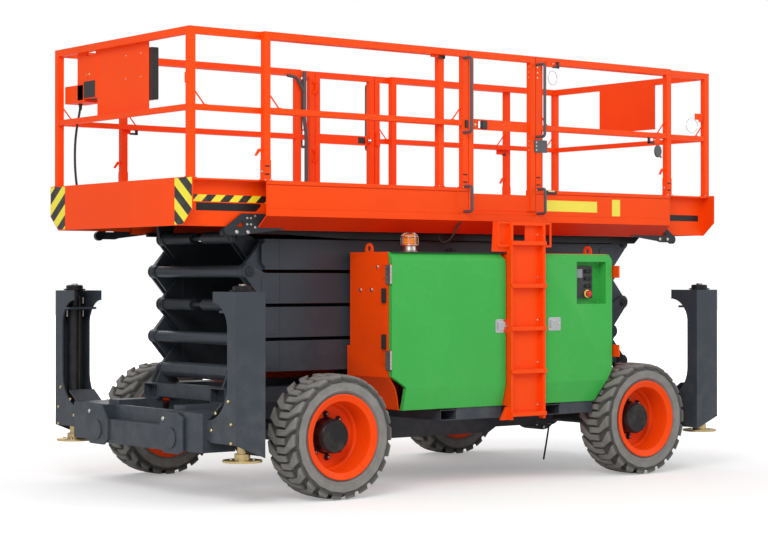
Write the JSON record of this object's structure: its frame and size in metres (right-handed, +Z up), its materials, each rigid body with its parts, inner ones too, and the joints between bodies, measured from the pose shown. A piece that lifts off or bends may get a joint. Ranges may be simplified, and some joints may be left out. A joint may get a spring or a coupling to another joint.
{
  "type": "scissor lift",
  "caption": "Large rough terrain scissor lift with stacked arms, a railed deck with roll out ends, side cabinets, ladders, chunky tyres and outrigger legs.",
  "frame": {"origin": "on the ground, midway between the axles and on the centre plane, at the bottom of the tyres", "axes": "+X towards the end with the rear wheels, the steered wheels are at -X; -Y is the side with the ground controls; +Z up"},
  "size_m": [4.915, 2.48, 3.1149],
  "materials": {
    "slate_paint": "dark slate grey paint",
    "black_paint": "black paint",
    "orange_paint": "bright orange red gloss paint",
    "green_paint": "bright green gloss paint",
    "amber_lens": "amber lens",
    "black_plastic": "black plastic and painted box",
    "tyre_rubber": "light warm grey solid rubber",
    "zinc_steel": "yellow zinc plated steel",
    "chrome_rod": "hard chrome",
    "cable_rubber": "black rubber"
  },
  "bodies": {
    "base": {"chassis_frame": "slate_paint", "fork_pockets": "slate_paint", "front_axle": "black_paint", "rear_axle": "black_paint", "engine": "slate_paint", "front_outriggers": "slate_paint", "rear_outriggers": "slate_paint", "cabinet_near": "orange_paint", "cabinet_far": "orange_paint", "ladders": "orange_paint", "beacon": "amber_lens", "earth_strap": "cable_rubber"},
    "knuckle_near_body": {"knuckle_near": "black_paint"},
    "knuckle_far_body": {"knuckle_far": "black_paint"},
    "wheel_front_near": {"tyre_front_near": "tyre_rubber", "rim_front_near": "orange_paint"},
    "wheel_front_far": {"tyre_front_far": "tyre_rubber", "rim_front_far": "orange_paint"},
    "wheel_rear_near": {"tyre_rear_near": "tyre_rubber", "rim_rear_near": "orange_paint"},
    "wheel_rear_far": {"tyre_rear_far": "tyre_rubber", "rim_rear_far": "orange_paint"},
    "door_near_front_body": {"door_near_front": "green_paint"},
    "door_near_rear_body": {"door_near_rear": "green_paint", "ground_controls": "black_plastic"},
    "door_far_front_body": {"door_far_front": "green_paint"},
    "door_far_rear_body": {"door_far_rear": "green_paint"},
    "leg_front_near_body": {"leg_front_near": "zinc_steel"},
    "leg_front_far_body": {"leg_front_far": "zinc_steel"},
    "leg_rear_near_body": {"leg_rear_near": "zinc_steel"},
    "leg_rear_far_body": {"leg_rear_far": "zinc_steel"},
    "inner_1": {"inner_arms_1": "slate_paint"},
    "outer_1": {"outer_arms_1": "slate_paint"},
    "inner_2": {"inner_arms_2": "slate_paint"},
    "outer_2": {"outer_arms_2": "slate_paint"},
    "inner_3": {"inner_arms_3": "slate_paint"},
    "outer_3": {"outer_arms_3": "slate_paint"},
    "inner_4": {"inner_arms_4": "slate_paint"},
    "outer_4": {"outer_arms_4": "slate_paint"},
    "lower_slides_body": {"lower_slides": "black_paint"},
    "upper_slides_body": {"upper_slides": "black_paint"},
    "lower_barrel": {"lower_cylinder": "slate_paint"},
    "lower_rod_body": {"lower_rod": "chrome_rod"},
    "upper_barrel": {"upper_cylinder": "slate_paint"},
    "upper_rod_body": {"upper_rod": "chrome_rod"},
    "platform": {"main_deck": "orange_paint", "main_rails": "orange_paint", "deck_cable": "cable_rubber"},
    "gate_near_body": {"gate_near": "orange_paint"},
    "gate_far_body": {"gate_far": "orange_paint"},
    "front_extension": {"front_deck": "orange_paint", "front_rails": "orange_paint", "front_sign": "orange_paint", "platform_controls": "black_plastic", "control_cable": "cable_rubber"},
    "rear_extension": {"rear_deck": "orange_paint", "rear_rails": "orange_paint", "rear_sign": "orange_paint"}
  },
  "joints": [
    {"name": "lift", "type": "hinge", "parent": "base", "child": "inner_1", "pos_m": [-1.762, 0, 0.825], "axis": [0, -1, 0], "range_deg": [0, 54.5]},
    {"name": "scissor_1", "type": "hinge", "parent": "inner_1", "child": "outer_1", "pos_m": [0.01669, 0, 0.9415], "axis": [0, -1, 0], "range_deg": [-109, 0]},
    {"name": "knuckle_1", "type": "hinge", "parent": "inner_1", "child": "inner_2", "pos_m": [1.79538, 0, 1.058], "axis": [0, -1, 0], "range_deg": [-109, 0]},
    {"name": "scissor_2", "type": "hinge", "parent": "inner_2", "child": "outer_2", "pos_m": [0.01669, 0, 1.1745], "axis": [0, -1, 0], "range_deg": [0, 109]},
    {"name": "knuckle_2", "type": "hinge", "parent": "inner_2", "child": "inner_3", "pos_m": [-1.762, 0, 1.291], "axis": [0, -1, 0], "range_deg": [0, 109]},
    {"name": "scissor_3", "type": "hinge", "parent": "inner_3", "child": "outer_3", "pos_m": [0.01669, 0, 1.4075], "axis": [0, -1, 0], "range_deg": [-109, 0]},
    {"name": "knuckle_3", "type": "hinge", "parent": "inner_3", "child": "inner_4", "pos_m": [1.79538, 0, 1.524], "axis": [0, -1, 0], "range_deg": [-109, 0]},
    {"name": "scissor_4", "type": "hinge", "parent": "inner_4", "child": "outer_4", "pos_m": [0.01669, 0, 1.6405], "axis": [0, -1, 0], "range_deg": [0, 109]},
    {"name": "platform_level", "type": "hinge", "parent": "inner_4", "child": "platform", "pos_m": [-1.762, 0, 1.757], "axis": [0, -1, 0], "range_deg": [0, 54.5]},
    {"name": "lower_slide_level", "type": "hinge", "parent": "outer_1", "child": "lower_slides_body", "pos_m": [1.79538, 0, 0.825], "axis": [0, -1, 0], "range_deg": [0, 54.5]},
    {"name": "upper_slide_level", "type": "hinge", "parent": "outer_4", "child": "upper_slides_body", "pos_m": [1.79538, 0, 1.757], "axis": [0, -1, 0], "range_deg": [-54.5, 0]},
    {"name": "lower_cylinder_foot", "type": "hinge", "parent": "inner_1", "child": "lower_barrel", "pos_m": [-0.362, 0, 0.925], "axis": [0, -1, 0], "range_deg": [-3.5, 0]},
    {"name": "lower_cylinder_rod", "type": "slide", "parent": "lower_barrel", "child": "lower_rod_body", "axis": [0.9892, 0, 0.1469], "range_m": [0, 0.328]},
    {"name": "upper_cylinder_foot", "type": "hinge", "parent": "inner_3", "child": "upper_barrel", "pos_m": [-0.362, 0, 1.391], "axis": [0, -1, 0], "range_deg": [-3.5, 0]},
    {"name": "upper_cylinder_rod", "type": "slide", "parent": "upper_barrel", "child": "upper_rod_body", "axis": [0.9892, 0, 0.1469], "range_m": [0, 0.328]},
    {"name": "steer", "type": "hinge", "parent": "base", "child": "knuckle_near_body", "pos_m": [-1.4225, -0.85, 0.419], "axis": [0, 0, 1], "range_deg": [-30, 30]},
    {"name": "steer_far", "type": "hinge", "parent": "base", "child": "knuckle_far_body", "pos_m": [-1.4225, 0.85, 0.419], "axis": [0, 0, 1], "range_deg": [-30, 30]},
    {"name": "wheel_front_near_spin", "type": "hinge", "parent": "knuckle_near_body", "child": "wheel_front_near", "pos_m": [-1.4225, -1.0875, 0.419], "axis": [0, 1, 0], "continuous": true},
    {"name": "wheel_front_far_spin", "type": "hinge", "parent": "knuckle_far_body", "child": "wheel_front_far", "pos_m": [-1.4225, 1.0875, 0.419], "axis": [0, 1, 0], "continuous": true},
    {"name": "wheel_rear_near_spin", "type": "hinge", "parent": "base", "child": "wheel_rear_near", "pos_m": [1.4225, -1.0875, 0.419], "axis": [0, 1, 0], "continuous": true},
    {"name": "wheel_rear_far_spin", "type": "hinge", "parent": "base", "child": "wheel_rear_far", "pos_m": [1.4225, 1.0875, 0.419], "axis": [0, 1, 0], "continuous": true},
    {"name": "door_near_front_swing", "type": "hinge", "parent": "base", "child": "door_near_front_body", "pos_m": [-0.955, -1.15, 1.1], "axis": [0, 0, -1], "range_deg": [0, 110]},
    {"name": "door_far_front_swing", "type": "hinge", "parent": "base", "child": "door_far_front_body", "pos_m": [-0.955, 1.15, 1.1], "axis": [0, 0, 1], "range_deg": [0, 110]},
    {"name": "door_near_rear_swing", "type": "hinge", "parent": "base", "child": "door_near_rear_body", "pos_m": [1.18, -1.19, 1.1], "axis": [0, 0, 1], "range_deg": [0, 110]},
    {"name": "door_far_rear_swing", "type": "hinge", "parent": "base", "child": "door_far_rear_body", "pos_m": [1.18, 1.19, 1.1], "axis": [0, 0, -1], "range_deg": [0, 110]},
    {"name": "gate_near_swing", "type": "hinge", "parent": "platform", "child": "gate_near_body", "pos_m": [-0.089, -0.893, 2.5], "axis": [0, 0, 1], "range_deg": [0, 92]},
    {"name": "gate_far_swing", "type": "hinge", "parent": "platform", "child": "gate_far_body", "pos_m": [-0.103, 0.893, 2.5], "axis": [0, 0, -1], "range_deg": [0, 92]},
    {"name": "front_deck_slide", "type": "slide", "parent": "platform", "child": "front_extension", "axis": [-1, 0, 0], "range_m": [0, 1.45]},
    {"name": "rear_deck_slide", "type": "slide", "parent": "platform", "child": "rear_extension", "axis": [1, 0, 0], "range_m": [0, 1.15]},
    {"name": "leg_front_near_slide", "type": "slide", "parent": "base", "child": "leg_front_near_body", "axis": [0, 0, -1], "range_m": [0, 0.45]},
    {"name": "leg_front_far_slide", "type": "slide", "parent": "base", "child": "leg_front_far_body", "axis": [0, 0, -1], "range_m": [0, 0.45]},
    {"name": "leg_rear_near_slide", "type": "slide", "parent": "base", "child": "leg_rear_near_body", "axis": [0, 0, -1], "range_m": [0, 0.45]},
    {"name": "leg_rear_far_slide", "type": "slide", "parent": "base", "child": "leg_rear_far_body", "axis": [0, 0, -1], "range_m": [0, 0.45]}
  ],
  "couplings": [
    {"joint": "scissor_1", "follows": "lift", "ratio": -2},
    {"joint": "knuckle_1", "follows": "lift", "ratio": -2},
    {"joint": "scissor_2", "follows": "lift", "ratio": 2},
    {"joint": "knuckle_2", "follows": "lift", "ratio": 2},
    {"joint": "scissor_3", "follows": "lift", "ratio": -2},
    {"joint": "knuckle_3", "follows": "lift", "ratio": -2},
    {"joint": "scissor_4", "follows": "lift", "ratio": 2},
    {"joint": "platform_level", "follows": "lift", "ratio": 1},
    {"joint": "lower_slide_level", "follows": "lift", "ratio": 1},
    {"joint": "upper_slide_level", "follows": "lift", "ratio": -1},
    {"joint": "lower_cylinder_foot", "follows": "lift", "ratio": -0.0624},
    {"joint": "lower_cylinder_rod", "follows": "lift", "m_per_rad": 0.34382},
    {"joint": "upper_cylinder_foot", "follows": "lift", "ratio": -0.0624},
    {"joint": "upper_cylinder_rod", "follows": "lift", "m_per_rad": 0.34382},
    {"joint": "steer_far", "follows": "steer", "ratio": 1}
  ]
}
